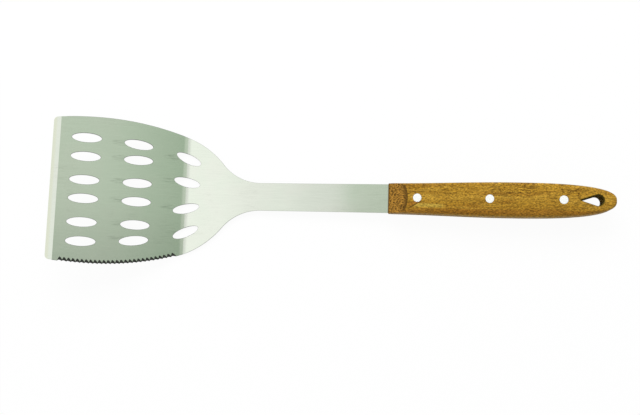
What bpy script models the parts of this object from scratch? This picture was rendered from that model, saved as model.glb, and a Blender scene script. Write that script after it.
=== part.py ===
"""Slotted steel grill turner with a riveted wooden handle.

The steel is drawn as a flat blank: s runs from the blade to the handle's tip with zero at the
bend, y runs across, and h is the height above the middle of the sheet. The blank is cut, its
edges are ground, and it is then folded at the bend. The handle's pieces use the same s, y and h.
The finished turner is laid down as it rests on a table, on its heel and on the handle.
"""

import math

import bmesh
import bpy
from mathutils import Euler, Matrix, Vector

MM = 0.001

# Steel sheet
SHEET_THICKNESS = 1.5 * MM
BLADE_LENGTH = 92.3 * MM
BLADE_HALF_WIDTH = 51.25 * MM
WIDEST_TO_BEND = 59.3 * MM
FRONT_CORNER_RADIUS = 3.0 * MM
FRONT_SIDE_RADIUS = 225.0 * MM
REAR_SIDE_RADIUS = 194.0 * MM
REAR_SIDE_TURN = math.radians(16.5)
SHOULDER_RADIUS = 64.5 * MM
NECK_RADIUS = 35.0 * MM
NECK_HALF_WIDTH = 9.75 * MM
SHANK_LENGTH = 144.6 * MM

# Bend between blade and shank
BEND_ANGLE = math.radians(23.2)
BEND_RADIUS = 15.0 * MM
BEND_FACETS = 9

# Ground front edge
FRONT_BEVEL_LENGTH = 4.8 * MM
FRONT_EDGE_THICKNESS = 0.4 * MM

# Serrated side
TOOTH_PITCH = 2.9 * MM
TOOTH_LINE_INSET = 0.6 * MM
TOOTH_TIP_SLOPE = 0.2 * MM
TOOTH_GRIND_REACH = 2.3 * MM
TOOTH_NOTCH_DEPTH = 0.7 * MM
TOOTH_ROOT_SHARE = 0.35
TEETH_BEHIND_FRONT = 8.9 * MM
TEETH_AHEAD_OF_BEND = 5.0 * MM

# Drain slots
SLOT_LENGTH = 19.7 * MM
SLOT_WIDTH = 6.3 * MM
SLOT_BEHIND_FRONT = 12.65 * MM
SLOT_TO_SIDE = 15.0 * MM
HEEL_SLOT_LENGTH = 18.9 * MM
HEEL_SLOTS_PAST_BEND = 1.7 * MM
INNER_HEEL_SLOTS_AHEAD = 0.8 * MM

# Handle
HANDLE_LENGTH = 150.7 * MM
HANDLE_HALF_THICKNESS = 7.7 * MM
HANDLE_FRONT_HALF_WIDTH = 10.3 * MM
HANDLE_HALF_WIDTH = 11.87 * MM
HANDLE_WIDEST_FROM_FRONT = 80.0 * MM
HANDLE_END_FULLNESS = 2.72
HANDLE_CROWN_RADIUS = 52.0 * MM
HANDLE_EDGE_RADIUS = 2.8 * MM
NOSE_LENGTH = 13.0 * MM
NOSE_LIP = 1.6 * MM
TANG_INSET = 0.3 * MM

# Hanging hole, a teardrop with its point towards the blade
HOLE_RADIUS = 3.75 * MM
HOLE_LENGTH = 14.7 * MM
HOLE_TO_TIP = 8.5 * MM
TANG_HOLE_GROWTH = 0.6 * MM

# Rivets
RIVET_HEAD_RADIUS = 2.85 * MM
RIVET_HEAD_THICKNESS = 1.1 * MM
RIVET_SLEEVE_RADIUS = 2.1 * MM
RIVET_PIN_RADIUS = 1.2 * MM
RIVET_SLEEVE_BELOW_PIN_HEAD = 1.2 * MM
RIVET_BORE_FLOOR = 0.6 * MM
FRONT_RIVET_FROM_FRONT = 19.3 * MM
REAR_RIVET_AHEAD_OF_HOLE = 11.3 * MM

# Clearances and fineness
SEAT_GAP = 0.3 * MM
RIVET_CLEARANCE = 0.2 * MM
CHORD_ERROR = 0.03 * MM
SLOT_FACETS = 32
TURNED_FACETS = 32
TAPER_STATIONS = 12
END_STATIONS = 16
EDGE_FACETS = 4
CROWN_FACETS = 7

# Places that follow from the sizes
FRONT_EDGE = -BLADE_LENGTH
SHEET_TOP = SHEET_THICKNESS / 2
SHEET_BOTTOM = -SHEET_THICKNESS / 2
BEND_HALF_LENGTH = BEND_RADIUS * BEND_ANGLE / 2
HANDLE_FRONT = SHANK_LENGTH
HANDLE_TIP = HANDLE_FRONT + HANDLE_LENGTH
HANDLE_WIDEST = HANDLE_FRONT + HANDLE_WIDEST_FROM_FRONT
SCALE_INNER_FACE = SHEET_TOP + SEAT_GAP
NOSE_END = HANDLE_FRONT + NOSE_LENGTH
HOLE_CENTRE = HANDLE_TIP - HOLE_TO_TIP - HOLE_RADIUS
HOLE_POINT = HOLE_CENTRE + HOLE_RADIUS - HOLE_LENGTH
FRONT_RIVET = HANDLE_FRONT + FRONT_RIVET_FROM_FRONT
REAR_RIVET = HOLE_POINT - REAR_RIVET_AHEAD_OF_HOLE
RIVETS = {"front": FRONT_RIVET, "middle": (FRONT_RIVET + REAR_RIVET) / 2, "rear": REAR_RIVET}

# Rows of each column of slots: share of the outermost row's distance from the axis, share of
# the side's slope that the slot is turned by, and how far it lies ahead of its column
FRONT_SLOT_ROWS = ((0.18, 0.0, 0.0), (0.633, 0.0, 0.0), (1.0, 0.0, 0.0))
MIDDLE_SLOT_ROWS = ((0.188, 0.0, 0.0), (0.66, 0.0, 0.0), (0.98, 0.85, 0.0))
HEEL_SLOT_ROWS = ((0.358, 0.55, INNER_HEEL_SLOTS_AHEAD), (1.0, 1.05, 0.0))


def clear_scene():
    for obj in list(bpy.data.objects):
        bpy.data.objects.remove(obj)


def new_collection(name):
    collection = bpy.data.collections.new(name)
    bpy.context.scene.collection.children.link(collection)
    return collection


def new_object(name, mesh, collection):
    obj = bpy.data.objects.new(name, mesh)
    collection.objects.link(obj)
    return obj


def mesh_from(bm, name):
    bmesh.ops.recalc_face_normals(bm, faces=bm.faces)
    mesh = bpy.data.meshes.new(name)
    bm.to_mesh(mesh)
    bm.free()
    return mesh


def evaluated_mesh(obj):
    """A plain mesh of the object with its modifiers, or its curve, worked out."""
    bpy.context.view_layer.update()
    graph = bpy.context.evaluated_depsgraph_get()
    return bpy.data.meshes.new_from_object(obj.evaluated_get(graph))


def finish_surface(obj, colour, roughness, metallic):
    """Give a piece its own material, and smooth shading with its hard edges kept."""
    material = bpy.data.materials.new(obj.name)
    material.use_nodes = True
    shader = material.node_tree.nodes["Principled BSDF"]
    shader.inputs["Base Color"].default_value = (*colour, 1.0)
    shader.inputs["Roughness"].default_value = roughness
    shader.inputs["Metallic"].default_value = metallic
    material.diffuse_color = (*colour, 1.0)
    obj.data.materials.clear()
    obj.data.materials.append(material)
    obj.data.shade_smooth()
    obj.data.set_sharp_from_angle(angle=math.radians(30))


# Outlines


def arc(centre, radius, start, end):
    """Points on an arc, both ends included, that stay within CHORD_ERROR of it."""
    step = 2 * math.sqrt(2 * CHORD_ERROR / radius)
    count = max(2, math.ceil(abs(end - start) / step))
    angles = (start + (end - start) * i / count for i in range(count + 1))
    return [
        Vector((centre[0] + radius * math.cos(a), centre[1] + radius * math.sin(a)))
        for a in angles
    ]


def blade_side_arcs():
    """The tangent arcs of the blade's side, front to neck: centre, radius, start and end angle."""
    widest = -WIDEST_TO_BEND
    upright = math.pi / 2
    front_centre = Vector((widest, BLADE_HALF_WIDTH - FRONT_SIDE_RADIUS))
    corner_s = FRONT_EDGE + FRONT_CORNER_RADIUS
    reach = FRONT_SIDE_RADIUS - FRONT_CORNER_RADIUS
    corner_y = front_centre.y + math.sqrt(reach**2 - (corner_s - widest) ** 2)
    corner_end = math.atan2(corner_y - front_centre.y, corner_s - widest)
    rear_centre = Vector((widest, BLADE_HALF_WIDTH - REAR_SIDE_RADIUS))
    across = Vector((math.sin(REAR_SIDE_TURN), math.cos(REAR_SIDE_TURN)))
    shoulder_centre = rear_centre + (REAR_SIDE_RADIUS - SHOULDER_RADIUS) * across
    # The neck's arc is tangent to the shoulder's and ends level with the shank's edge.
    drop = NECK_HALF_WIDTH + NECK_RADIUS - shoulder_centre.y
    neck_turn = math.acos(drop / (SHOULDER_RADIUS + NECK_RADIUS))
    onward = Vector((math.sin(neck_turn), math.cos(neck_turn)))
    neck_centre = shoulder_centre + (SHOULDER_RADIUS + NECK_RADIUS) * onward
    return (
        (Vector((corner_s, corner_y)), FRONT_CORNER_RADIUS, math.pi, corner_end),
        (front_centre, FRONT_SIDE_RADIUS, corner_end, upright),
        (rear_centre, REAR_SIDE_RADIUS, upright, upright - REAR_SIDE_TURN),
        (shoulder_centre, SHOULDER_RADIUS, upright - REAR_SIDE_TURN, upright - neck_turn),
        (neck_centre, NECK_RADIUS, 3 * upright - neck_turn, 3 * upright),
    )


def blade_side():
    """The blade's side from the front edge to the neck, at positive y."""
    points = []
    for centre, radius, start, end in blade_side_arcs():
        stretch = arc(centre, radius, start, end)
        points += stretch[1:] if points else stretch
    return points


def side_at(points, s):
    """The side's distance from the axis at s, and the angle of its slope."""
    for near, far in zip(points, points[1:]):
        if near.x <= s <= far.x:
            share = (s - near.x) / (far.x - near.x)
            slope = far - near
            return near.y + share * slope.y, math.atan2(slope.y, slope.x)
    raise ValueError("s lies off the blade")


def handle_side():
    """The handle's side from its front to its tip: points and their outward normals."""
    points = []
    for i in range(TAPER_STATIONS):
        share = i / TAPER_STATIONS
        ease = share * share * (3 - 2 * share)
        half = HANDLE_FRONT_HALF_WIDTH + (HANDLE_HALF_WIDTH - HANDLE_FRONT_HALF_WIDTH) * ease
        points.append(Vector((HANDLE_FRONT + share * HANDLE_WIDEST_FROM_FRONT, half)))
    for i in range(END_STATIONS + 1):
        angle = math.pi / 2 * (1 - i / END_STATIONS)
        along = max(math.cos(angle), 0.0) ** (2 / HANDLE_END_FULLNESS)
        out = max(math.sin(angle), 0.0) ** (2 / HANDLE_END_FULLNESS)
        s = HANDLE_WIDEST + (HANDLE_TIP - HANDLE_WIDEST) * along
        points.append(Vector((s, HANDLE_HALF_WIDTH * out)))
    normals = [Vector((0.0, 1.0))]
    for before, after in zip(points, points[2:]):
        normals.append(Vector((before.y - after.y, after.x - before.x)).normalized())
    normals.append(Vector((1.0, 0.0)))
    return points, normals


def teardrop(growth):
    """The hanging hole's outline: a round end joined to a point by its two tangents."""
    radius = HOLE_RADIUS + growth
    to_point = HOLE_CENTRE - HOLE_POINT + growth
    tangent = math.acos(radius / to_point)
    points = arc((HOLE_CENTRE, 0.0), radius, math.pi - tangent, tangent - math.pi)
    return [*points, Vector((HOLE_CENTRE - to_point, 0.0))]


def mirrored(half):
    """A closed outline from its half at positive y."""
    other = [Vector((p.x, -p.y)) for p in reversed(half) if p.y > CHORD_ERROR]
    return [*half, *other]


def plate(name, outline, low, high, collection):
    """A flat piece with this outline, between two heights."""
    curve = bpy.data.curves.new(name, "CURVE")
    curve.dimensions = "2D"
    curve.fill_mode = "BOTH"
    curve.extrude = (high - low) / 2
    spline = curve.splines.new("POLY")
    spline.points.add(len(outline) - 1)
    for place, point in zip(spline.points, outline):
        place.co = (point.x, point.y, 0.0, 1.0)
    spline.use_cyclic_u = True
    drawing = new_object(name + "_outline", curve, collection)
    bm = bmesh.new()
    bm.from_mesh(evaluated_mesh(drawing))
    bpy.data.objects.remove(drawing)
    bmesh.ops.remove_doubles(bm, verts=bm.verts, dist=CHORD_ERROR / 10)
    bmesh.ops.translate(bm, verts=bm.verts, vec=(0.0, 0.0, (low + high) / 2))
    return new_object(name, mesh_from(bm, name), collection)


# Cutters


def hide_cutter(obj):
    obj.hide_render = True
    obj.display_type = "WIRE"
    return obj


def cut(obj, cutter):
    modifier = obj.modifiers.new(cutter.name, "BOOLEAN")
    modifier.operation = "DIFFERENCE"
    modifier.solver = "EXACT"
    modifier.object = cutter


def slot_cutters(side, cutters):
    """One elliptical punch for each drain slot, in three columns that fan in to the handle."""
    front_column = FRONT_EDGE + SLOT_BEHIND_FRONT + SLOT_LENGTH / 2
    middle_column = (front_column + HEEL_SLOTS_PAST_BEND) / 2
    columns = (
        (front_column, SLOT_LENGTH, FRONT_SLOT_ROWS),
        (middle_column, SLOT_LENGTH, MIDDLE_SLOT_ROWS),
        (HEEL_SLOTS_PAST_BEND, HEEL_SLOT_LENGTH, HEEL_SLOT_ROWS),
    )
    bm = bmesh.new()
    for s, length, rows in columns:
        edge, slope = side_at(side, s)
        for row_share, turn_share, ahead in rows:
            y = (edge - SLOT_TO_SIDE) * row_share
            for hand in (1, -1):
                place = Matrix.Translation((s - ahead, hand * y, 0.0))
                turn = Matrix.Rotation(hand * slope * turn_share, 4, "Z")
                size = Matrix.Diagonal((length / 2, SLOT_WIDTH / 2, 1.0, 1.0))
                bmesh.ops.create_cone(
                    bm,
                    cap_ends=True,
                    segments=SLOT_FACETS,
                    radius1=1.0,
                    radius2=1.0,
                    depth=4 * SHEET_THICKNESS,
                    matrix=place @ turn @ size,
                )
    return hide_cutter(new_object("drain_slot_punches", mesh_from(bm, "drain_slot_punches"), cutters))


def front_edge_cutter(cutters):
    """A block whose underside is the ground face along the front edge."""
    fall = SHEET_THICKNESS - FRONT_EDGE_THICKNESS
    angle = math.atan2(fall, FRONT_BEVEL_LENGTH)
    width = 3 * BLADE_HALF_WIDTH
    length = 4 * FRONT_BEVEL_LENGTH
    height = 4 * SHEET_THICKNESS
    foot = Matrix.Translation((FRONT_EDGE + FRONT_BEVEL_LENGTH, 0.0, SHEET_TOP))
    lean = Matrix.Rotation(-angle, 4, "Y")
    block = Matrix.Translation((0.0, 0.0, height / 2)) @ Matrix.Diagonal((length, width, height, 1.0))
    bm = bmesh.new()
    bmesh.ops.create_cube(bm, size=1.0, matrix=foot @ lean @ block)
    return hide_cutter(new_object("front_edge_grinder", mesh_from(bm, "front_edge_grinder"), cutters))


def tooth_lines():
    """Crests and roots of the serration: place along s, and reach inward at the sheet's top and
    bottom. The roots lean to the front, so each tooth's rear flank is the long one."""
    first = FRONT_EDGE + TEETH_BEHIND_FRONT
    count = int((-TEETH_AHEAD_OF_BEND - first) / TOOTH_PITCH)
    lines = [(first, TOOTH_TIP_SLOPE, 0.0)]
    for i in range(count):
        root = first + (i + TOOTH_ROOT_SHARE) * TOOTH_PITCH
        crest = first + (i + 1) * TOOTH_PITCH
        inset = TOOTH_LINE_INSET
        lines.append((root, inset + TOOTH_GRIND_REACH, inset + TOOTH_NOTCH_DEPTH))
        if i == count - 1:
            inset = 0.0
        lines.append((crest, inset + TOOTH_TIP_SLOPE, inset))
    return lines


def teeth_cutter(side, cutters):
    """A long grinder whose inner side is the serration, carried on above and below the sheet."""
    bm = bmesh.new()
    rings = []
    for s, top_reach, bottom_reach in tooth_lines():
        edge, slope = side_at(side, s)
        inward = Vector((math.sin(slope), math.cos(slope), 0.0))
        outside = -2 * TOOTH_GRIND_REACH
        middle = (top_reach + bottom_reach) / 2
        spread = top_reach - bottom_reach
        corners = (
            (middle + spread, SHEET_THICKNESS),
            (outside, SHEET_THICKNESS),
            (outside, -SHEET_THICKNESS),
            (middle - spread, -SHEET_THICKNESS),
        )
        root = Vector((s, -edge, 0.0))
        rings.append([bm.verts.new(root + reach * inward + Vector((0, 0, h))) for reach, h in corners])
    for ring, onward in zip(rings, rings[1:]):
        for i in range(len(ring)):
            bm.faces.new((ring[i - 1], ring[i], onward[i], onward[i - 1]))
    bm.faces.new(rings[0])
    bm.faces.new(rings[-1])
    bmesh.ops.triangulate(bm, faces=bm.faces)
    return hide_cutter(new_object("serration_grinder", mesh_from(bm, "serration_grinder"), cutters))


def teardrop_cutter(name, growth, cutters):
    reach = 2 * HANDLE_HALF_THICKNESS
    return hide_cutter(plate(name, teardrop(growth), -reach, reach, cutters))


def tang_bore_cutter(cutters):
    bm = bmesh.new()
    for s in RIVETS.values():
        bmesh.ops.create_cone(
            bm,
            cap_ends=True,
            segments=TURNED_FACETS,
            radius1=RIVET_SLEEVE_RADIUS + RIVET_CLEARANCE,
            radius2=RIVET_SLEEVE_RADIUS + RIVET_CLEARANCE,
            depth=4 * SHEET_THICKNESS,
            matrix=Matrix.Translation((s, 0.0, 0.0)),
        )
    return hide_cutter(new_object("tang_bore_drill", mesh_from(bm, "tang_bore_drill"), cutters))


def nose_cutter(name, hand, cutters):
    """A block whose inner face is the slope at the front of a scale."""
    low = SCALE_INNER_FACE + NOSE_LIP
    angle = math.atan2(HANDLE_HALF_THICKNESS - low, NOSE_LENGTH)
    length = 4 * NOSE_LENGTH
    width = 4 * HANDLE_HALF_WIDTH
    height = 4 * HANDLE_HALF_THICKNESS
    foot = Matrix.Translation((HANDLE_FRONT, 0.0, hand * low))
    lean = Matrix.Rotation(-hand * angle, 4, "Y")
    block = Matrix.Translation((0.0, 0.0, hand * height / 2))
    size = Matrix.Diagonal((length, width, height, 1.0))
    bm = bmesh.new()
    bmesh.ops.create_cube(bm, size=1.0, matrix=foot @ lean @ block @ size)
    return hide_cutter(new_object(name, mesh_from(bm, name), cutters))


# Turned pieces


def turned(name, profile, collection):
    """A solid turned about the h axis from a profile of radius and height, top to bottom."""
    mesh = bpy.data.meshes.new(name)
    edges = [(i, i + 1) for i in range(len(profile) - 1)]
    mesh.from_pydata([(radius, 0.0, h) for radius, h in profile], edges, [])
    obj = new_object(name, mesh, collection)
    screw = obj.modifiers.new("turn", "SCREW")
    screw.angle = 2 * math.pi
    screw.steps = TURNED_FACETS
    screw.render_steps = TURNED_FACETS
    screw.use_merge_vertices = True
    screw.merge_threshold = CHORD_ERROR / 10
    solid = evaluated_mesh(obj)
    bpy.data.objects.remove(obj)
    return solid


def pin_profile():
    """The rivet's headed pin, which enters the sleeve from above."""
    under_head = HANDLE_HALF_THICKNESS - RIVET_HEAD_THICKNESS
    end = -HANDLE_HALF_THICKNESS + RIVET_HEAD_THICKNESS + RIVET_BORE_FLOOR
    return (
        (0.0, HANDLE_HALF_THICKNESS),
        (RIVET_HEAD_RADIUS, HANDLE_HALF_THICKNESS),
        (RIVET_HEAD_RADIUS, under_head),
        (RIVET_PIN_RADIUS, under_head),
        (RIVET_PIN_RADIUS, end),
        (0.0, end),
    )


def sleeve_profile():
    """The rivet's headed sleeve, bored for the pin."""
    over_head = -HANDLE_HALF_THICKNESS + RIVET_HEAD_THICKNESS
    mouth = HANDLE_HALF_THICKNESS - RIVET_HEAD_THICKNESS - RIVET_SLEEVE_BELOW_PIN_HEAD
    bore = RIVET_PIN_RADIUS + RIVET_CLEARANCE
    floor = over_head + RIVET_BORE_FLOOR - SEAT_GAP
    return (
        (0.0, floor),
        (bore, floor),
        (bore, mouth),
        (RIVET_SLEEVE_RADIUS, mouth),
        (RIVET_SLEEVE_RADIUS, over_head),
        (RIVET_HEAD_RADIUS, over_head),
        (RIVET_HEAD_RADIUS, -HANDLE_HALF_THICKNESS),
        (0.0, -HANDLE_HALF_THICKNESS),
    )


def rivet_seat_profile():
    """What the drill and the counterbores take out of both scales for one rivet."""
    beyond = 2 * HANDLE_HALF_THICKNESS
    head = RIVET_HEAD_RADIUS + RIVET_CLEARANCE
    stem = RIVET_SLEEVE_RADIUS + RIVET_CLEARANCE
    seat = HANDLE_HALF_THICKNESS - RIVET_HEAD_THICKNESS - SEAT_GAP
    return (
        (0.0, beyond),
        (head, beyond),
        (head, seat),
        (stem, seat),
        (stem, -seat),
        (head, -seat),
        (head, -beyond),
        (0.0, -beyond),
    )


# Pieces


def fold(point):
    """Where a point of the flat blank comes to lie once the blade is bent up."""
    s, y, h = point
    turn = min(max(BEND_HALF_LENGTH - s, 0.0), 2 * BEND_HALF_LENGTH) / BEND_RADIUS
    beyond = max(-BEND_HALF_LENGTH - s, 0.0)
    ahead = max(s, BEND_HALF_LENGTH)
    radius = BEND_RADIUS - h
    return Vector(
        (
            ahead - radius * math.sin(turn) - beyond * math.cos(turn),
            y,
            BEND_RADIUS - radius * math.cos(turn) + beyond * math.sin(turn),
        )
    )


def split_at_bend(mesh):
    """Split a mesh's faces along the lines where the blank will fold."""
    bm = bmesh.new()
    bm.from_mesh(mesh)
    bmesh.ops.triangulate(bm, faces=bm.faces)
    for i in range(BEND_FACETS + 1):
        s = BEND_HALF_LENGTH * (2 * i / BEND_FACETS - 1)
        bmesh.ops.bisect_plane(
            bm,
            geom=[*bm.verts, *bm.edges, *bm.faces],
            dist=CHORD_ERROR / 10,
            plane_co=(s, 0.0, 0.0),
            plane_no=(1.0, 0.0, 0.0),
        )
    bmesh.ops.triangulate(bm, faces=bm.faces)
    bm.to_mesh(mesh)
    bm.free()


def make_blade_and_tang(parts, cutters):
    side = blade_side()
    shank = []
    flare = HANDLE_FRONT_HALF_WIDTH - TANG_INSET - NECK_HALF_WIDTH
    neck_end = side[-1].x
    for i in range(1, TAPER_STATIONS):
        share = i / TAPER_STATIONS
        s = neck_end + share * (HANDLE_FRONT - neck_end)
        shank.append(Vector((s, NECK_HALF_WIDTH + flare * share * share)))
    tang = [p - TANG_INSET * n for p, n in zip(*handle_side())]
    outline = mirrored([*side, *shank, *tang])
    blank = plate("blade_and_tang_blank", outline, SHEET_BOTTOM, SHEET_TOP, cutters)
    split_at_bend(blank.data)
    cut(blank, front_edge_cutter(cutters))
    cut(blank, slot_cutters(side, cutters))
    cut(blank, teeth_cutter(side, cutters))
    cut(blank, tang_bore_cutter(cutters))
    cut(blank, teardrop_cutter("tang_hole_punch", TANG_HOLE_GROWTH, cutters))
    mesh = evaluated_mesh(blank)
    bpy.data.objects.remove(blank)
    mesh.name = "blade_and_tang"
    split_at_bend(mesh)
    for vertex in mesh.vertices:
        vertex.co = fold(vertex.co)
    turner = new_object("blade_and_tang", mesh, parts)
    finish_surface(turner, (0.62, 0.64, 0.60), 0.28, 1.0)
    return turner


def scale_section(point, normal):
    """A section of a scale through one point of its side, from edge to crown to edge."""
    rim = [(0.0, None)]
    for i in range(EDGE_FACETS + 1):
        angle = math.pi / 2 * i / EDGE_FACETS
        inset = HANDLE_EDGE_RADIUS * (1 - math.cos(angle))
        rim.append((inset, HANDLE_EDGE_RADIUS * (1 - math.sin(angle))))
    section = []
    for inset, drop in rim:
        place = point - inset * normal
        place.y = max(place.y, 0.0)
        crown = HANDLE_HALF_THICKNESS - place.y**2 / (2 * HANDLE_CROWN_RADIUS)
        h = SCALE_INNER_FACE if drop is None else crown - drop
        section.append(Vector((place.x, place.y, h)))
    last = section[-1]
    across = []
    for i in range(1, CROWN_FACETS):
        y = last.y * (1 - 2 * i / CROWN_FACETS)
        h = HANDLE_HALF_THICKNESS - y**2 / (2 * HANDLE_CROWN_RADIUS)
        across.append(Vector((last.x, y, h)))
    return [*section, *across, *(Vector((p.x, -p.y, p.z)) for p in reversed(section))]


def make_scale(name, hand, hole, parts, cutters):
    """A scale, lofted through its sections, then drilled. The hand is 1 above and -1 below."""
    bm = bmesh.new()
    rows = []
    for point, normal in zip(*handle_side()):
        row = [bm.verts.new((p.x, p.y, hand * p.z)) for p in scale_section(point, normal)]
        rows.append(row)
    for row, onward in zip(rows, rows[1:]):
        for i in range(len(row) - 1):
            bm.faces.new((row[i], row[i + 1], onward[i + 1], onward[i]))
    bm.faces.new(rows[0])
    bm.faces.new([row[0] for row in rows] + [row[-1] for row in reversed(rows)])
    bmesh.ops.remove_doubles(bm, verts=bm.verts, dist=CHORD_ERROR / 10)
    scale = new_object(name, mesh_from(bm, name), parts)
    cut(scale, nose_cutter(name + "_nose_plane", hand, cutters))
    seat = turned("rivet_seat", rivet_seat_profile(), cutters)
    for place, s in RIVETS.items():
        drill = new_object(f"{name}_{place}_rivet_drill", seat, cutters)
        drill.location.x = s
        cut(scale, hide_cutter(drill))
    cut(scale, hole)
    scale.data = evaluated_mesh(scale)
    scale.data.name = name
    scale.modifiers.clear()
    finish_surface(scale, (0.40, 0.22, 0.06), 0.55, 0.0)
    return scale


def make_rivets(parts, cutters):
    pin = turned("rivet_pin", pin_profile(), cutters)
    sleeve = turned("rivet_sleeve", sleeve_profile(), cutters)
    rivets = []
    for place, s in RIVETS.items():
        for kind, mesh in (("pin", pin), ("sleeve", sleeve)):
            rivet = new_object(f"{place}_rivet_{kind}", mesh.copy(), parts)
            rivet.location.x = s
            finish_surface(rivet, (0.78, 0.78, 0.76), 0.18, 1.0)
            rivets.append(rivet)
    return rivets


# Rest pose


def rest_tilt():
    """How far the shank rises from the table when the heel and the lower scale touch it."""
    along = NOSE_END - BEND_HALF_LENGTH
    down = HANDLE_HALF_THICKNESS + BEND_RADIUS
    heel = BEND_RADIUS - SHEET_BOTTOM
    return math.atan2(down, along) - math.asin(heel / math.hypot(along, down))


def lay_down(parts, cutters):
    """Parent every piece to one empty that lays the turner on the table, centred on it."""
    tilt = rest_tilt()
    rest = new_object("rest_pose", None, parts)
    rest.rotation_euler = Euler((0.0, -tilt, 0.0))
    heel = BEND_RADIUS - SHEET_BOTTOM
    rest.location.z = heel - BEND_HALF_LENGTH * math.sin(tilt) - BEND_RADIUS * math.cos(tilt)
    for obj in [*parts.objects, *cutters.objects]:
        if obj != rest:
            obj.parent = rest
    bpy.context.view_layer.update()
    graph = bpy.context.evaluated_depsgraph_get()
    reach = []
    for obj in parts.objects:
        if obj.type == "MESH":
            mesh = obj.evaluated_get(graph).data
            reach += [(obj.matrix_world @ vertex.co).x for vertex in mesh.vertices]
    rest.location.x = -(min(reach) + max(reach)) / 2


def main():
    clear_scene()
    parts = new_collection("Slotted turner")
    cutters = new_collection("Cutters")
    make_blade_and_tang(parts, cutters)
    hole = teardrop_cutter("hanging_hole_punch", 0.0, cutters)
    make_scale("upper_handle_scale", 1, hole, parts, cutters)
    make_scale("lower_handle_scale", -1, hole, parts, cutters)
    make_rivets(parts, cutters)
    lay_down(parts, cutters)


if __name__ == "__main__":
    main()
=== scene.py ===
import math
from collections import Counter, namedtuple

import bmesh
import bpy
from bpy.props import FloatProperty, FloatVectorProperty, IntProperty, PointerProperty
from mathutils import Euler, Matrix, Vector


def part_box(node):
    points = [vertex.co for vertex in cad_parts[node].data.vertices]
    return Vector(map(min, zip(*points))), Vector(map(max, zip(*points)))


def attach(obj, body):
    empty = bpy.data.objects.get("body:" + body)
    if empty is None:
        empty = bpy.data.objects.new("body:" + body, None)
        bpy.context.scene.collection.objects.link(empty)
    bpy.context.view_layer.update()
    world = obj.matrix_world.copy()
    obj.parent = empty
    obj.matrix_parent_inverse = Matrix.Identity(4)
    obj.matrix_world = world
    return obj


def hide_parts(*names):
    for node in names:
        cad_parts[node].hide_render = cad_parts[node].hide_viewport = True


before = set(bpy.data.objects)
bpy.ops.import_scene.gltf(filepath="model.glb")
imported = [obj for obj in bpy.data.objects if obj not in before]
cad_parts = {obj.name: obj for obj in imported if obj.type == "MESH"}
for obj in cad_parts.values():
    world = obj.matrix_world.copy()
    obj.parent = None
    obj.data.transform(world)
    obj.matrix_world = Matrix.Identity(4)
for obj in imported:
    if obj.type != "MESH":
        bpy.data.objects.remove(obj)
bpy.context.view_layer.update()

bl_info = {
    "name": "Slotted grill turner",
    "version": (1, 0, 0),
    "blender": (4, 5, 0),
    "location": "3D View > Sidebar > Turner",
    "description": "Builds a slotted steel grill turner with a riveted wooden handle, and its studio",
    "category": "Object",
}

MM = 0.001
TINY = 1e-6
UPRIGHT = math.pi / 2
# The gap between the frame's tang and its scales, from which the nose lip is measured.
TANG_GAP = 0.3 * MM


# Sizes and finishes


def number(name, description, default, **kind):
    """A number that a user may change."""
    return FloatProperty(name=name, description=description, default=default, precision=5, **kind)


def size(name, description, millimetres):
    return number(name, description, millimetres * MM, unit="LENGTH")


def angle(name, description, degrees):
    return number(name, description, math.radians(degrees), subtype="ANGLE")


def count(name, description, default):
    return IntProperty(name=name, description=description, default=default)


def colour(name, description, default):
    return FloatVectorProperty(
        name=name, description=description, default=default, size=3, min=0, max=1, subtype="COLOR"
    )


class TurnerBlade(bpy.types.PropertyGroup):
    """The steel sheet: blade, bend and shank."""

    thickness: size("Sheet thickness", "Thickness of the steel sheet", 1.5)
    length: size("Blade length", "From the front edge to the bend", 92.3)
    half_width: size("Blade half width", "Half of the blade's greatest width", 51.25)
    widest: size("Widest to bend", "From the widest place to the bend", 59.3)
    corner: size("Front corner radius", "Rounding of the two front corners", 3.0)
    front_radius: size("Front side radius", "Curve of the side ahead of the widest place", 225)
    rear_radius: size("Rear side radius", "Curve of the side behind the widest place", 194)
    rear_turn: angle("Rear side turn", "How far the rear side turns in", 16.5)
    shoulder: size("Shoulder radius", "Outward curve towards the neck", 64.5)
    neck: size("Neck radius", "Inward curve into the shank", 35.0)
    neck_half: size("Neck half width", "Half of the shank's width at the neck", 9.75)
    shank: size("Shank length", "From the bend to the handle", 144.2)
    bend: angle("Bend angle", "How far the blade is bent up", 23.2)
    bend_radius: size("Bend radius", "Radius of the bend at the middle of the sheet", 15.0)
    bend_facets: count("Bend facets", "Fineness of the bend", 28)
    bevel: size("Front bevel length", "Length of the ground face at the front", 4.8)
    edge: size("Front edge thickness", "What the grinding leaves at the front edge", 0.4)
    rim: size("Rim chamfer", "Width of the broken edge around every rim", 0.16)


class TurnerSlots(bpy.types.PropertyGroup):
    """The drain slots, in three columns."""

    length: size("Slot length", "Length of a slot", 20.0)
    width: size("Slot width", "Width of a slot", 6.55)
    heel_length: size("Heel slot length", "Length of a slot that crosses the bend", 19.2)
    behind_front: size("Slots behind front", "From the front edge to the first slots", 12.5)
    to_side: size("Slots to side", "From the outermost slots' axes to the side", 15.0)
    past_bend: size("Heel slots past bend", "How far the last column lies past the bend", 1.7)
    inner_ahead: size("Inner heel slots ahead", "How far its inner slots lie ahead of it", 0.8)
    outer_ahead: size("Outer slots ahead", "How far the rear columns' outer slots lie ahead", 0.35)
    sides: count("Slot sides", "Fineness of a slot's outline", 72)


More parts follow.
